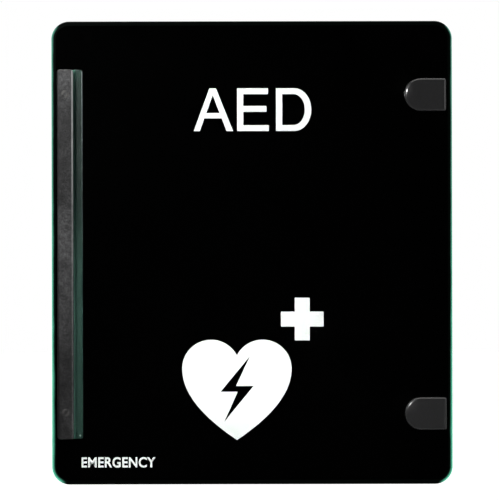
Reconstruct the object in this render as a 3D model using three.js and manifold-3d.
// A wall cabinet for an automated external defibrillator: a sheet steel box with a hinged glass door.
// Millimetres. X to the right, Y towards the wall, Z up. The origin is the centre of the wall face.
import * as THREE from 'three';
import Module from 'manifold-3d';
import { mergeVertices } from 'three/addons/utils/BufferGeometryUtils.js';

const wasm = await Module();
wasm.setup();

// ---- Driving dimensions ----

const CABINET_DEPTH = 200; // wall to the front face of the glass
const GAP = 0.3; // between neighbouring pieces
const SKIN_GAP = 0.1; // between the layers of print on the glass

const GLASS = { width: 380, height: 440, thickness: 5, corner: 17, arris: 0.6 };
const PRINT_THICKNESS = 0.3;

const BODY = { width: 351, height: 418, sheet: 1.5, flange: 14, corner: 3, depth: 191 };
const WALL_HOLE = { radius: 3.5, x: 142, z: 146 };

const HINGE = { top: 174.2, bottom: -176.6, x: -179.8, barrel: 4, bore: 2.05, pin: 1.95, knuckles: 11 };
const STRIP = { left: -184.5, right: -169.7, thickness: 3, corner: 2, chamfer: 0.8 };
const DOOR_LEAF = { right: -161, thickness: 2, corner: 2.5 };
const BODY_LEAF = { depth: 26, thickness: 1.5 };
const STUD = { x: -176.5, z: 151, radius: 2.5, glassHole: 4, end: 7.2 };
const RIVET = { count: 5, pitch: 75, radius: 1.6, head: 3.3, inset: 18.7 };

const GRIP = { left: 145.5, right: 186, height: 31.5, thickness: 3.5, corner: 1.6, chamfer: 1.2 };
const GRIP_LEVELS = { upper: 150.5, lower: -153.4 };
const STRIKE = { left: 146, right: 161, height: 28, thickness: 1.5, screwX: 153.5, screwZ: 9 };
const SCREW = { radius: 2, head: 3.6, clearance: 2.25, glassHole: 3 };

const SEAL = { width: 8, thickness: 2.8, inset: 3 };
const MAT_THICKNESS = 3;

const CATCH = { left: 146.8, right: 161.2, height: 44, depth: 12.4, wall: 2.1 };
const POLE = { thickness: 1.6, height: 30 };

const ALARM = { x: 10, y: -186, width: 140, depth: 50, height: 40, wall: 2 };
const BATTERY = { radius: 7.1, length: 50.5, nubRadius: 2.7, nub: 1.5, pitch: 15 };
const ROCKER = { x: -8, z: -24, pivotY: 2, halfLength: 7.6, halfWidth: 4.7, tilt: 8 };

const SIGN = { heartX: -14.3, lobeTop: -82.7, tip: -178.2, lobeRadius: 27.65, lobeOffset: 24.5 };
const CROSS = { x: 48, z: -63.2, size: 40.6, arm: 14.3 };
const LETTER = { height: 40.7, base: 115.8, stroke: 5.95, bar: 5.6 };

const ARC_STEPS = 4;
const PRINT_STEPS = 12; // finer, for the curved edges of the white print
const ROUND_SIDES = 20;
const SMALL_SIDES = 12;

// ---- Places worked out from them ----

const glassFront = -CABINET_DEPTH;
const glassBack = glassFront + GLASS.thickness;
const whiteFront = glassBack + SKIN_GAP;
const whiteBack = whiteFront + PRINT_THICKNESS;
const blackFront = whiteBack + SKIN_GAP;
const blackBack = blackFront + PRINT_THICKNESS;
const behindPrint = blackBack + GAP;

const bodyRight = BODY.width / 2;
const bodyTop = BODY.height / 2;
const bodyFront = -BODY.depth;
const innerRight = bodyRight - BODY.sheet;
const innerTop = bodyTop - BODY.sheet;

const doorLeafFront = glassBack + GAP;
const doorLeafBack = doorLeafFront + DOOR_LEAF.thickness;
const hingeY = doorLeafFront + HINGE.barrel;
const bodyLeafRight = HINGE.x + HINGE.barrel;
const bodyLeafLeft = bodyLeafRight - BODY_LEAF.thickness;
const bodyLeafBack = hingeY + BODY_LEAF.depth;
const plateBack = glassFront - GAP;

// ---- Finishes ----

const finish = (color, roughness, metalness, more = {}) =>
  new THREE.MeshStandardMaterial({ color, roughness, metalness, ...more });

const clearGlass = finish(0x9fd8c4, 0.05, 0, { transparent: true, opacity: 0.3 });
const blackPrint = finish(0x030303, 0.3, 0);
const whitePrint = finish(0xffffff, 0.4, 0);
const texturedBlack = finish(0x2b2b2c, 0.75, 0.2);
const zincSteel = finish(0xb9bcc0, 0.35, 1);
const blackFoam = finish(0x161616, 0.95, 0);
const blackRubber = finish(0x202122, 0.9, 0);
const nylon = finish(0xe6e4dc, 0.5, 0);
const blackPlastic = finish(0x17181a, 0.5, 0);
const ferrite = finish(0x38383a, 0.7, 0.1);
const alarmPlastic = finish(0xdedfdd, 0.55, 0);
const boardGreen = finish(0x1f6b3c, 0.5, 0);
const sirenBlack = finish(0x101011, 0.35, 0);
const lampRed = finish(0xb3201c, 0.2, 0);
const batteryLabel = finish(0x3d4a55, 0.35, 0.3);

// ---- Geometry helpers ----

const middle = ([low, high]) => (low + high) / 2;
const between = ([low, high]) => high - low;

// A box from its three spans.
function block(x, y, z) {
  const geometry = new THREE.BoxGeometry(between(x), between(y), between(z));
  return geometry.translate(middle(x), middle(y), middle(z));
}

// A rounded rectangle from its spans across and up.
function roundedRect(across, up, radius, Outline = THREE.Shape) {
  const [x0, x1] = across;
  const [y0, y1] = up;
  const outline = new Outline();
  outline.moveTo(x0 + radius, y0);
  outline.absarc(x1 - radius, y0 + radius, radius, -Math.PI / 2, 0);
  outline.absarc(x1 - radius, y1 - radius, radius, 0, Math.PI / 2);
  outline.absarc(x0 + radius, y1 - radius, radius, Math.PI / 2, Math.PI);
  outline.absarc(x0 + radius, y0 + radius, radius, Math.PI, 1.5 * Math.PI);
  return outline;
}

function polygon(points, Outline = THREE.Shape) {
  const outline = new Outline();
  points.forEach(([x, y], index) => (index ? outline.lineTo(x, y) : outline.moveTo(x, y)));
  outline.closePath();
  return outline;
}

function roundHole(x, z, radius) {
  const hole = new THREE.Path();
  hole.absarc(x, z, radius, 0, 2 * Math.PI);
  return hole;
}

// An outline in X and Z made into a plate between two depths, with its edges chamfered if asked.
function plate(outline, front, back, chamfer = 0, steps = ARC_STEPS) {
  const geometry = new THREE.ExtrudeGeometry(outline, {
    depth: back - front - 2 * chamfer,
    bevelEnabled: chamfer > 0,
    bevelThickness: chamfer,
    bevelSize: chamfer,
    bevelOffset: -chamfer,
    bevelSegments: 1,
    curveSegments: steps,
  });
  return geometry.rotateX(Math.PI / 2).translate(0, back - chamfer, 0);
}

// An outline in X and Y extruded up from z0 to z1.
function upright(outline, [z0, z1]) {
  const settings = { depth: z1 - z0, bevelEnabled: false, curveSegments: ARC_STEPS };
  return new THREE.ExtrudeGeometry(outline, settings).translate(0, 0, z0);
}

function rodY(radius, y, x, z, sides = ROUND_SIDES) {
  return new THREE.CylinderGeometry(radius, radius, between(y), sides).translate(x, middle(y), z);
}

function rodZ(radius, z, x, y, sides = ROUND_SIDES) {
  const geometry = new THREE.CylinderGeometry(radius, radius, between(z), sides);
  return geometry.rotateX(Math.PI / 2).translate(x, y, middle(z));
}

// A profile of [radius, height] points turned about the Y axis.
function turned(profile, sides = SMALL_SIDES) {
  return new THREE.LatheGeometry(profile.map(([radius, y]) => new THREE.Vector2(radius, y)), sides);
}

function solidOf(geometry) {
  const bare = geometry.clone();
  bare.deleteAttribute('normal');
  bare.deleteAttribute('uv');
  const merged = mergeVertices(bare, 1e-3);
  return new wasm.Manifold(new wasm.Mesh({
    numProp: 3,
    vertProperties: new Float32Array(merged.attributes.position.array),
    triVerts: new Uint32Array(merged.index.array),
  }));
}

function geometryOf(solid) {
  const mesh = solid.getMesh();
  const geometry = new THREE.BufferGeometry();
  geometry.setAttribute('position', new THREE.BufferAttribute(mesh.vertProperties, 3));
  geometry.setIndex(new THREE.BufferAttribute(mesh.triVerts, 1));
  geometry.computeVertexNormals();
  return geometry;
}

function join(...geometries) {
  return geometryOf(geometries.map(solidOf).reduce((sum, next) => sum.add(next)));
}

function cut(geometry, ...tools) {
  const rest = tools.map(solidOf).reduce((left, tool) => left.subtract(tool), solidOf(geometry));
  return geometryOf(rest);
}

function addPiece(group, name, geometry, material) {
  const mesh = new THREE.Mesh(geometry, material);
  mesh.name = name;
  group.add(mesh);
  return mesh;
}

// ---- Door glass and its print ----

// The four places where a screw passes from a strike plate to a grip plate.
const strikeScrews = Object.values(GRIP_LEVELS).flatMap((level) =>
  [STRIKE.screwZ, -STRIKE.screwZ].map((offset) => [STRIKE.screwX, level + offset]));

function doorGlass() {
  const { width, height, corner } = GLASS;
  const outline = roundedRect([-width / 2, width / 2], [-height / 2, height / 2], corner);
  for (const z of [STUD.z, -STUD.z]) outline.holes.push(roundHole(STUD.x, z, STUD.glassHole));
  for (const [x, z] of strikeScrews) outline.holes.push(roundHole(x, z, SCREW.glassHole));
  return plate(outline, glassFront, glassBack, GLASS.arris);
}

// The black layer leaves a clear window where the hinge leaf lies against the glass.
function backPrint() {
  const inset = GLASS.arris;
  const halfWidth = GLASS.width / 2 - inset;
  const halfHeight = GLASS.height / 2 - inset;
  const corner = GLASS.corner - inset;
  const outline = roundedRect([-halfWidth, halfWidth], [-halfHeight, halfHeight], corner);
  const clear = 2 * GAP;
  const across = [STRIP.left - clear, DOOR_LEAF.right + clear];
  const up = [HINGE.bottom - clear, HINGE.top + clear];
  outline.holes.push(roundedRect(across, up, DOOR_LEAF.corner, THREE.Path));
  for (const [x, z] of strikeScrews) outline.holes.push(roundHole(x, z, SCREW.glassHole));
  return plate(outline, blackFront, blackBack);
}

const whiteLayer = (outline) => plate(outline, whiteFront, whiteBack, 0, PRINT_STEPS);

function letterA() {
  const outline = polygon([
    [0, 0], [15, LETTER.height], [21.2, LETTER.height], [37.4, 0],
    [31.2, 0], [26.6, 12.1], [10.1, 12.1], [5.8, 0],
  ]);
  outline.holes.push(polygon([[12, 17.2], [24.6, 17.2], [18.1, 34.4]], THREE.Path));
  return whiteLayer(outline).translate(-54.9, 0, LETTER.base);
}

function letterE() {
  const { height, stroke, bar } = LETTER;
  const midLow = 18.3;
  return whiteLayer(polygon([
    [0, 0], [30.2, 0], [30.2, bar], [stroke, bar],
    [stroke, midLow], [27.9, midLow], [27.9, midLow + bar], [stroke, midLow + bar],
    [stroke, height - bar], [29.4, height - bar], [29.4, height], [0, height],
  ])).translate(-13.6, 0, LETTER.base);
}

function letterD() {
  const { height, stroke, bar } = LETTER;
  const half = height / 2;
  const quarter = Math.PI / 2;
  const outline = new THREE.Shape();
  outline.moveTo(0, height);
  outline.lineTo(0, 0);
  outline.absellipse(17.5, half, 16.1, half, -quarter, quarter);
  const bowl = new THREE.Path();
  bowl.moveTo(stroke, height - bar);
  bowl.lineTo(stroke, bar);
  bowl.absellipse(16.5, half, 10.9, half - bar, -quarter, quarter);
  outline.holes.push(bowl);
  return whiteLayer(outline).translate(23.4, 0, LETTER.base);
}

// Two round lobes that run down to a point, with a lightning bolt cut out.
function heartSymbol() {
  const { lobeTop, tip, lobeRadius: radius, lobeOffset: offset } = SIGN;
  const lobeZ = lobeTop - radius;
  const side = offset + radius;
  const notch = Math.acos(offset / radius);
  const shoulder = 25.2;
  const flank = { x: 29.8, z: 20.1 };
  const outline = new THREE.Shape();
  outline.moveTo(0, tip);
  outline.bezierCurveTo(flank.x, tip + flank.z, side, lobeZ - shoulder, side, lobeZ);
  outline.absarc(offset, lobeZ, radius, 0, Math.PI - notch);
  outline.absarc(-offset, lobeZ, radius, notch, Math.PI);
  outline.bezierCurveTo(-side, lobeZ - shoulder, -flank.x, tip + flank.z, 0, tip);
  const bolt = [
    [12.4, -98.5], [-15.6, -132.2], [0.8, -132.2],
    [-12.1, -160.8], [15.9, -126.8], [-0.8, -126.8],
  ];
  outline.holes.push(polygon(bolt, THREE.Path));
  return whiteLayer(outline).translate(SIGN.heartX, 0, 0);
}

function crossSymbol() {
  const reach = CROSS.size / 2;
  const arm = CROSS.arm / 2;
  return whiteLayer(polygon([
    [-arm, -reach], [arm, -reach], [arm, -arm], [reach, -arm], [reach, arm], [arm, arm],
    [arm, reach], [-arm, reach], [-arm, arm], [-reach, arm], [-reach, -arm], [-arm, -arm],
  ])).translate(CROSS.x, 0, CROSS.z);
}

// ---- Hinge ----

// The span of each knuckle along the pin. Even ones belong to the door, odd ones to the body.
function knuckleSpans(parity, grow) {
  const pitch = (HINGE.top - HINGE.bottom) / HINGE.knuckles;
  return Array.from({ length: HINGE.knuckles }, (_, index) => index)
    .filter((index) => index % 2 === parity)
    .map((index) => [HINGE.bottom + pitch * index - grow, HINGE.bottom + pitch * (index + 1) + grow]);
}

const knuckle = (z) => rodZ(HINGE.barrel, z, HINGE.x, hingeY);
const hingeBore = () => rodZ(HINGE.bore, [HINGE.bottom - 1, HINGE.top + 1], HINGE.x, hingeY);

// A flat leaf with its own knuckles, notched round the other leaf's.
function hingeLeaf(flat, parity) {
  const own = knuckleSpans(parity, -GAP / 2).map(knuckle);
  const clear = HINGE.barrel + 2 * GAP;
  const notchX = [HINGE.x - clear, HINGE.x + clear];
  const notchY = [hingeY - clear, hingeY + clear];
  const notches = knuckleSpans(1 - parity, GAP / 2).map((z) => block(notchX, notchY, z));
  return cut(join(flat, ...own), ...notches, hingeBore());
}

function doorLeaf() {
  const outline = new THREE.Shape();
  const { right, corner } = DOOR_LEAF;
  outline.moveTo(HINGE.x, HINGE.top);
  outline.lineTo(HINGE.x, HINGE.bottom);
  outline.absarc(right - corner, HINGE.bottom + corner, corner, -Math.PI / 2, 0);
  outline.absarc(right - corner, HINGE.top - corner, corner, 0, Math.PI / 2);
  const flat = plate(outline, doorLeafFront, doorLeafBack);
  const leaf = hingeLeaf(flat, 0);
  const socketEnd = glassFront + STUD.end + 0.2;
  const sockets = [STUD.z, -STUD.z].map((z) => rodY(STUD.radius + GAP, [glassBack, socketEnd], STUD.x, z));
  return cut(leaf, ...sockets);
}

function bodyLeaf() {
  const flat = block([bodyLeafLeft, bodyLeafRight], [hingeY, bodyLeafBack], [HINGE.bottom, HINGE.top]);
  return cut(hingeLeaf(flat, 1), ...rivetHoles());
}

const hingePin = () => rodZ(HINGE.pin, [HINGE.bottom - 0.8, HINGE.top + 0.8], HINGE.x, hingeY);

// The strip in front of the glass carries two welded studs that reach the leaf behind it.
function hingeStrip() {
  const outline = roundedRect([STRIP.left, STRIP.right], [HINGE.bottom, HINGE.top], STRIP.corner);
  const front = plateBack - STRIP.thickness;
  const bar = frontChamfered(outline, front, plateBack, STRIP.chamfer);
  const studEnd = glassFront + STUD.end;
  const studs = [STUD.z, -STUD.z].map((z) => rodY(STUD.radius, [plateBack - 1, studEnd], STUD.x, z));
  return join(bar, ...studs);
}

// A plate whose front edge alone is chamfered.
function frontChamfered(outline, front, back, chamfer) {
  const deep = back + 2 * chamfer;
  const reach = GLASS.height;
  const behind = block([-reach, reach], [back, deep + 1], [-reach, reach]);
  return cut(plate(outline, front, deep, chamfer), behind);
}

function studBush(z) {
  const outline = new THREE.Shape();
  outline.absarc(STUD.x, z, STUD.glassHole - GAP, 0, 2 * Math.PI);
  outline.holes.push(roundHole(STUD.x, z, STUD.radius + GAP));
  return plate(outline, glassFront + GAP, glassBack - GAP);
}

const rivetLevels = Array.from(
  { length: RIVET.count }, (_, index) => (index - (RIVET.count - 1) / 2) * RIVET.pitch);
const rivetY = hingeY + RIVET.inset;

// Rods along X through the leaf and the side wall, a little wider than the rivets.
function rivetHoles() {
  return rivetLevels.map((z) => {
    const rod = new THREE.CylinderGeometry(RIVET.radius + 0.2, RIVET.radius + 0.2, 12, SMALL_SIDES);
    return rod.rotateZ(Math.PI / 2).translate(-bodyRight, rivetY, z);
  });
}

// A domed rivet along X: its head outside the leaf, its set tail inside the wall.
function bodyRivet(z) {
  const headSeat = bodyLeafLeft - SKIN_GAP;
  const tailSeat = -innerRight + SKIN_GAP;
  const { radius, head } = RIVET;
  const profile = [
    [0, headSeat - 1.7], [head * 0.5, headSeat - 1.5], [head * 0.85, headSeat - 0.9], [head, headSeat],
    [radius, headSeat], [radius, tailSeat],
    [head * 0.8, tailSeat], [head * 0.7, tailSeat + 1], [0, tailSeat + 1.2],
  ];
  return turned(profile).rotateZ(-Math.PI / 2).translate(0, rivetY, z);
}

// ---- Grip plates and the strike plates behind them ----

function gripPlate(level) {
  const { left, right, height, corner, chamfer, thickness } = GRIP;
  const half = height / 2;
  const outline = new THREE.Shape();
  outline.moveTo(left + half, level - half);
  outline.absarc(right - corner, level - half + corner, corner, -Math.PI / 2, 0);
  outline.absarc(right - corner, level + half - corner, corner, 0, Math.PI / 2);
  outline.absarc(left + half, level, half, Math.PI / 2, 1.5 * Math.PI);
  const solid = frontChamfered(outline, plateBack - thickness, plateBack, chamfer);
  const deep = [plateBack - 2.4, plateBack + 1];
  const threads = [STRIKE.screwZ, -STRIKE.screwZ].map((offset) =>
    rodY(SCREW.clearance, deep, STRIKE.screwX, level + offset, SMALL_SIDES));
  return cut(solid, ...threads);
}

// The countersunk screw's outline, from its tip in the grip plate to its head in the strike plate.
function strikeScrewProfile(grow) {
  const { radius, head } = SCREW;
  const face = behindPrint + STRIKE.thickness;
  return [
    [0, plateBack - 2 - grow], [radius + grow, plateBack - 2 - grow], [radius + grow, face - 1.3],
    [head + grow, face - 0.2], [head + grow, face - 0.1 + 2 * grow], [0, face - 0.1 + 2 * grow],
  ];
}

const strikeScrew = ([x, z]) => turned(strikeScrewProfile(0)).translate(x, 0, z);

function strikePlate(level) {
  const half = STRIKE.height / 2;
  const outline = roundedRect([STRIKE.left, STRIKE.right], [level - half, level + half], 1.5);
  const screwSeats = [STRIKE.screwZ, -STRIKE.screwZ].map((offset) =>
    turned(strikeScrewProfile(0.2)).translate(STRIKE.screwX, 0, level + offset));
  return cut(plate(outline, behindPrint, behindPrint + STRIKE.thickness), ...screwSeats);
}

// The magnet on the door that holds the alarm's reed switch closed.
const doorMagnet = () =>
  plate(roundedRect([-26, -10], [183, 191], 1.5), behindPrint, behindPrint + 4.5, 0.5);

// ---- Cabinet body ----

// Four walls folded from one sheet, with a flange turned inwards at the front.
function cabinetShell() {
  const { corner, sheet, flange } = BODY;
  const outer = () => roundedRect([-bodyRight, bodyRight], [-bodyTop, bodyTop], corner);
  const walls = outer();
  const inside = roundedRect([-innerRight, innerRight], [-innerTop, innerTop], corner - sheet, THREE.Path);
  walls.holes.push(inside);
  const front = outer();
  const openRight = bodyRight - flange;
  const openTop = bodyTop - flange;
  front.holes.push(roundedRect([-openRight, openRight], [-openTop, openTop], corner, THREE.Path));
  const shell = join(plate(walls, bodyFront, 0), plate(front, bodyFront, bodyFront + sheet));
  return cut(shell, ...rivetHoles());
}

function backPanel() {
  const right = innerRight - GAP;
  const top = innerTop - GAP;
  const outline = roundedRect([-right, right], [-top, top], 1);
  for (const x of [-WALL_HOLE.x, WALL_HOLE.x]) {
    for (const z of [-WALL_HOLE.z, WALL_HOLE.z]) {
      outline.holes.push(roundHole(x, z, WALL_HOLE.radius));
    }
  }
  return plate(outline, -BODY.sheet, 0);
}

const sealSpan = (edge) => [edge - SEAL.inset - SEAL.width, edge - SEAL.inset];
const sealBack = bodyFront - SKIN_GAP;
const sealFront = sealBack - SEAL.thickness;

function acrossSeal(side) {
  const end = bodyRight - SEAL.inset;
  const z = sealSpan(bodyTop).map((edge) => edge * side).sort((a, b) => a - b);
  return block([-end, end], [sealFront, sealBack], z);
}

function sideSeal() {
  const end = bodyTop - SEAL.inset - SEAL.width - GAP;
  return block(sealSpan(bodyRight), [sealFront, sealBack], [-end, end]);
}

function floorMat() {
  const low = -innerTop + GAP;
  const right = innerRight - 1.5;
  return block([-right, right], [bodyFront + 3, -4], [low, low + MAT_THICKNESS]);
}

// ---- Magnetic catches ----

const catchBack = bodyFront + CATCH.depth;

function catchBracket(level) {
  const { sheet } = BODY;
  const front = catchBack + GAP;
  const right = innerRight - GAP;
  const arm = front + sheet;
  return upright(polygon([
    [CATCH.left, front], [right, front], [right, front + 23], [right - sheet, front + 23],
    [right - sheet, arm], [CATCH.left, arm],
  ]), [level - CATCH.height / 2 + 2, level + CATCH.height / 2 - 2]);
}

// A pole plate stands just inside the housing's left wall or its right one.
function poleSpan(side) {
  const start = side < 0 ? CATCH.left + CATCH.wall + GAP : CATCH.right - CATCH.wall - GAP - POLE.thickness;
  return [start, start + POLE.thickness];
}

function catchHousing(level) {
  const half = CATCH.height / 2;
  const pocket = POLE.height / 2 + GAP;
  const outline = roundedRect([CATCH.left, CATCH.right], [level - half, level + half], 2);
  const across = [CATCH.left + CATCH.wall, CATCH.right - CATCH.wall];
  const hollow = block(across, [bodyFront - 2, catchBack - 2], [level - pocket, level + pocket]);
  return cut(plate(outline, bodyFront, catchBack, 0.5), hollow);
}

function catchMagnet(level) {
  const x = [poleSpan(-1)[1] + GAP, poleSpan(1)[0] - GAP];
  const half = POLE.height / 2 - 1;
  return block(x, [bodyFront + 0.6, catchBack - 2.3], [level - half, level + half]);
}

function polePlate(level, side) {
  const half = POLE.height / 2;
  return block(poleSpan(side), [bodyFront - 1.1, catchBack - 2.3], [level - half, level + half]);
}

// ---- Door alarm ----
// Its own frame: X from its middle, Y back from its front face, Z down from the cabinet's top wall.

const alarmInside = ALARM.width / 2 - ALARM.wall;
const alarmFloor = ALARM.wall - ALARM.height;
const PARTITION = [11.5, 13];
const BASE_THICKNESS = 3;
const BOSS = { radius: 3.6, places: [[-63.5, 40], [6.5, 40]] };
const SIREN = { x: -50, z: -24, radius: 12, depth: 11.4 };
const LAMP_X = 7.5;

// The dovetailed slot that the battery cover slides in, or the cover itself when shrink is above zero.
function batteryDovetail(x0, x1, shrink) {
  const wide = 1.2 + shrink;
  const narrow = 2.2 + shrink;
  const top = alarmFloor - shrink;
  const outline = polygon([
    [narrow, -ALARM.height], [ALARM.depth - narrow, -ALARM.height], [ALARM.depth - wide, top], [wide, top],
  ]);
  const bar = new THREE.ExtrudeGeometry(outline, { depth: x1 - x0, bevelEnabled: false });
  // Section Y and Z lie in the shape's plane, and its depth runs along X.
  const toPlace = new THREE.Matrix4().set(0, 0, 1, x0, 1, 0, 0, 0, 0, 1, 0, 0, 0, 0, 0, 1);
  return bar.applyMatrix4(toPlace);
}

function alarmCover() {
  const { width, depth, height, wall } = ALARM;
  const outer = upright(roundedRect([-width / 2, width / 2], [0, depth], 2), [-height, 0]);
  const hollow = block([-alarmInside, alarmInside], [wall, depth - wall], [alarmFloor, 1]);
  const partitionTop = -BASE_THICKNESS - GAP;
  const partition = block(PARTITION, [wall / 2, depth - wall / 2], [alarmFloor - 1, partitionTop]);
  const slots = [-8, -4, 0, 4, 8].map((z) =>
    block([SIREN.x - 9, SIREN.x + 9], [-1, wall + 1], [SIREN.z + z - 0.8, SIREN.z + z + 0.8]));
  const { x: switchX, z: switchZ } = ROCKER;
  const switchHole = block([switchX - 10.2, switchX + 10.2], [-1, wall + 1], [switchZ - 6.7, switchZ + 6.7]);
  const lampHole = rodY(2.4, [-1, wall + 1], LAMP_X, ROCKER.z, SMALL_SIDES);
  const screwHoles = BOSS.places.map(([x, y]) =>
    rodZ(1.6, [-height - 1, alarmFloor + 1], x, y, SMALL_SIDES));
  const bayLeft = PARTITION[1] + 1.2;
  const bay = block([bayLeft, alarmInside], [wall, depth - wall], [-height - 1, alarmFloor + 0.5]);
  const slide = batteryDovetail(bayLeft, width / 2 + 1, 0);
  return cut(join(cut(outer, hollow), partition), ...slots, switchHole, lampHole, ...screwHoles, slide, bay);
}

function alarmBase() {
  const { depth, wall } = ALARM;
  const right = alarmInside - GAP;
  const panel = block([-right, right], [wall + GAP, depth - wall - GAP], [-BASE_THICKNESS, 0]);
  const bosses = BOSS.places.map(([x, y]) => rodZ(BOSS.radius, [alarmFloor + GAP, -1], x, y, SMALL_SIDES));
  const feet = [-50, -6].map((x) => block([x - 3, x + 3], [20, 30], [-7.7, -1]));
  const threads = BOSS.places.map(([x, y]) => rodZ(1.5, [alarmFloor, -26], x, y, SMALL_SIDES));
  return cut(join(panel, ...bosses, ...feet), ...threads);
}

const circuitBoard = () => block([-58, 1.5], [4, 46], [-9.6, -8]);

function siren() {
  const { x, z, radius, depth } = SIREN;
  const start = ALARM.wall + GAP;
  const end = start + depth;
  const profile = [
    [0, start + 1.5], [2, start + 1.5], [2, start],
    [radius - 1, start], [radius, start + 1], [radius, end], [0, end],
  ];
  return turned(profile, ROUND_SIDES).translate(x, 0, z);
}

// A glass capsule with a wire lead at each end, lying along X.
function reedSwitch() {
  const profile = [[0, 0], [0.4, 0], [0.4, 3], [1.3, 4], [1.3, 11.5], [0.4, 12.5], [0.4, 15.5], [0, 15.5]];
  return turned(profile, 8).rotateZ(-Math.PI / 2).translate(-36.5, 4.5, -20);
}

function battery(index) {
  const { radius, length, nubRadius, nub, pitch } = BATTERY;
  const shoulder = length - nub;
  const profile = [
    [0, 0], [radius, 0], [radius, shoulder], [nubRadius, shoulder], [nubRadius, length], [0, length],
  ];
  const cell = turned(profile, ROUND_SIDES).translate(0, -length / 2, 0);
  cell.rotateZ(index === 1 ? Math.PI / 2 : -Math.PI / 2);
  return cell.translate(40.7, ALARM.depth / 2 + (index - 1) * pitch, alarmFloor + 0.7 + radius);
}

const contactPlate = (x) => block([x, x + 0.5], [3, ALARM.depth - 3], [alarmFloor + 2, -12]);

function batteryCover() {
  const panel = batteryDovetail(PARTITION[1] + 1.6, ALARM.width / 2, GAP);
  const ribSpan = [-ALARM.height - 0.7, -ALARM.height + 0.5];
  const ribs = [56, 59, 62, 65].map((x) => block([x, x + 1.2], [14, 36], ribSpan));
  return join(panel, ...ribs);
}

function rockerHousing() {
  const { x, z } = ROCKER;
  const bezel = plate(roundedRect([x - 11.5, x + 11.5], [z - 7.5, z + 7.5], 1.5), -1.6, -SKIN_GAP);
  const barrel = block([x - 9.9, x + 9.9], [-0.5, 14], [z - 6.4, z + 6.4]);
  const cavity = block([x - 8.7, x + 8.7], [-3, 9], [z - 5.1, z + 5.1]);
  return cut(join(bezel, barrel), cavity);
}

// The rocker rests tipped to one side, with its left end standing out.
function rocker() {
  const { x, z, pivotY, halfLength, halfWidth, tilt } = ROCKER;
  const outline = polygon([
    [-halfLength, -4.6], [0, -2.8], [halfLength, -4.6], [halfLength - 0.8, 1.8], [0.8 - halfLength, 1.8],
  ].reverse());
  const paddle = upright(outline, [-halfWidth, halfWidth]);
  return paddle.rotateZ(THREE.MathUtils.degToRad(tilt)).translate(x, pivotY, z);
}

function statusLamp() {
  const profile = [[0, -1.6], [1.2, -1.3], [1.9, -0.6], [2.1, 0], [2.1, 4], [0, 4]];
  return turned(profile).translate(LAMP_X, 0, ROCKER.z);
}

function coverScrew([x, y]) {
  const seat = SKIN_GAP;
  const profile = [[0, -12], [1.2, -12], [1.2, seat], [2.8, seat], [2.5, 1.4], [0, 1.6]];
  return turned(profile).rotateX(-Math.PI / 2).translate(x, y, -ALARM.height);
}

// ---- Assembly ----

function makeDoor() {
  const door = new THREE.Group();
  addPiece(door, 'door_glass', doorGlass(), clearGlass);
  addPiece(door, 'door_back_print', backPrint(), blackPrint);
  addPiece(door, 'letter_a', letterA(), whitePrint);
  addPiece(door, 'letter_e', letterE(), whitePrint);
  addPiece(door, 'letter_d', letterD(), whitePrint);
  addPiece(door, 'heart_symbol', heartSymbol(), whitePrint);
  addPiece(door, 'cross_symbol', crossSymbol(), whitePrint);
  addPiece(door, 'hinge_strip', hingeStrip(), texturedBlack);
  addPiece(door, 'hinge_door_leaf', doorLeaf(), texturedBlack);
  addPiece(door, 'upper_stud_bush', studBush(STUD.z), nylon);
  addPiece(door, 'lower_stud_bush', studBush(-STUD.z), nylon);
  for (const [place, level] of Object.entries(GRIP_LEVELS)) {
    addPiece(door, `${place}_grip_plate`, gripPlate(level), texturedBlack);
    addPiece(door, `${place}_strike_plate`, strikePlate(level), zincSteel);
  }
  strikeScrews.forEach((place, index) => {
    addPiece(door, `strike_screw_${index + 1}`, strikeScrew(place), zincSteel);
  });
  addPiece(door, 'door_magnet', doorMagnet(), blackPlastic);
  return door;
}

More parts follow.
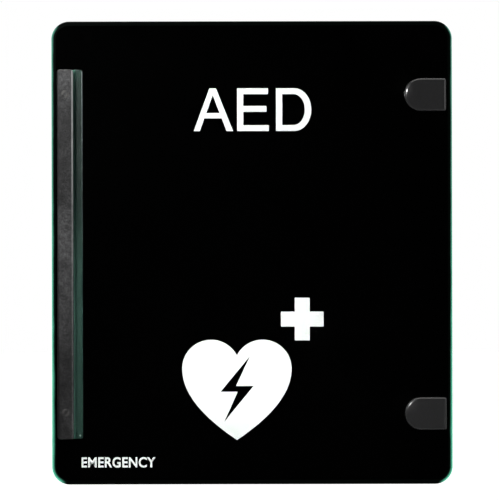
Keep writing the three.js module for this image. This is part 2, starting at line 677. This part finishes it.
function makeBody() {
  const body = new THREE.Group();
  addPiece(body, 'cabinet_shell', cabinetShell(), texturedBlack);
  addPiece(body, 'back_panel', backPanel(), texturedBlack);
  addPiece(body, 'top_seal', acrossSeal(1), blackFoam);
  addPiece(body, 'bottom_seal', acrossSeal(-1), blackFoam);
  addPiece(body, 'side_seal', sideSeal(), blackFoam);
  addPiece(body, 'floor_mat', floorMat(), blackRubber);
  addPiece(body, 'hinge_body_leaf', bodyLeaf(), texturedBlack);
  addPiece(body, 'hinge_pin', hingePin(), zincSteel);
  rivetLevels.forEach((z, index) => {
    addPiece(body, `hinge_rivet_${index + 1}`, bodyRivet(z), zincSteel);
  });
  return body;
}

function makeCatches() {
  const catches = new THREE.Group();
  for (const [place, level] of Object.entries(GRIP_LEVELS)) {
    addPiece(catches, `${place}_catch_bracket`, catchBracket(level), texturedBlack);
    addPiece(catches, `${place}_catch_housing`, catchHousing(level), blackPlastic);
    addPiece(catches, `${place}_catch_magnet`, catchMagnet(level), ferrite);
    addPiece(catches, `${place}_catch_pole_left`, polePlate(level, -1), zincSteel);
    addPiece(catches, `${place}_catch_pole_right`, polePlate(level, 1), zincSteel);
  }
  return catches;
}

function makeAlarm() {
  const alarm = new THREE.Group();
  alarm.position.set(ALARM.x, ALARM.y, innerTop - GAP);
  addPiece(alarm, 'alarm_base', alarmBase(), alarmPlastic);
  addPiece(alarm, 'alarm_cover', alarmCover(), alarmPlastic);
  addPiece(alarm, 'alarm_circuit_board', circuitBoard(), boardGreen);
  addPiece(alarm, 'alarm_siren', siren(), sirenBlack);
  addPiece(alarm, 'reed_switch', reedSwitch(), clearGlass);
  for (const index of [0, 1, 2]) {
    addPiece(alarm, `battery_${index + 1}`, battery(index), batteryLabel);
  }
  addPiece(alarm, 'battery_contact_left', contactPlate(13.5), zincSteel);
  addPiece(alarm, 'battery_contact_right', contactPlate(67.2), zincSteel);
  addPiece(alarm, 'battery_cover', batteryCover(), alarmPlastic);
  addPiece(alarm, 'rocker_housing', rockerHousing(), blackPlastic);
  addPiece(alarm, 'alarm_rocker', rocker(), blackPlastic);
  addPiece(alarm, 'status_lamp', statusLamp(), lampRed);
  BOSS.places.forEach((place, index) => {
    addPiece(alarm, `cover_screw_${index + 1}`, coverScrew(place), zincSteel);
  });
  return alarm;
}

const cabinet = new THREE.Group();
cabinet.add(makeDoor(), makeBody(), makeCatches(), makeAlarm());

export default cabinet;
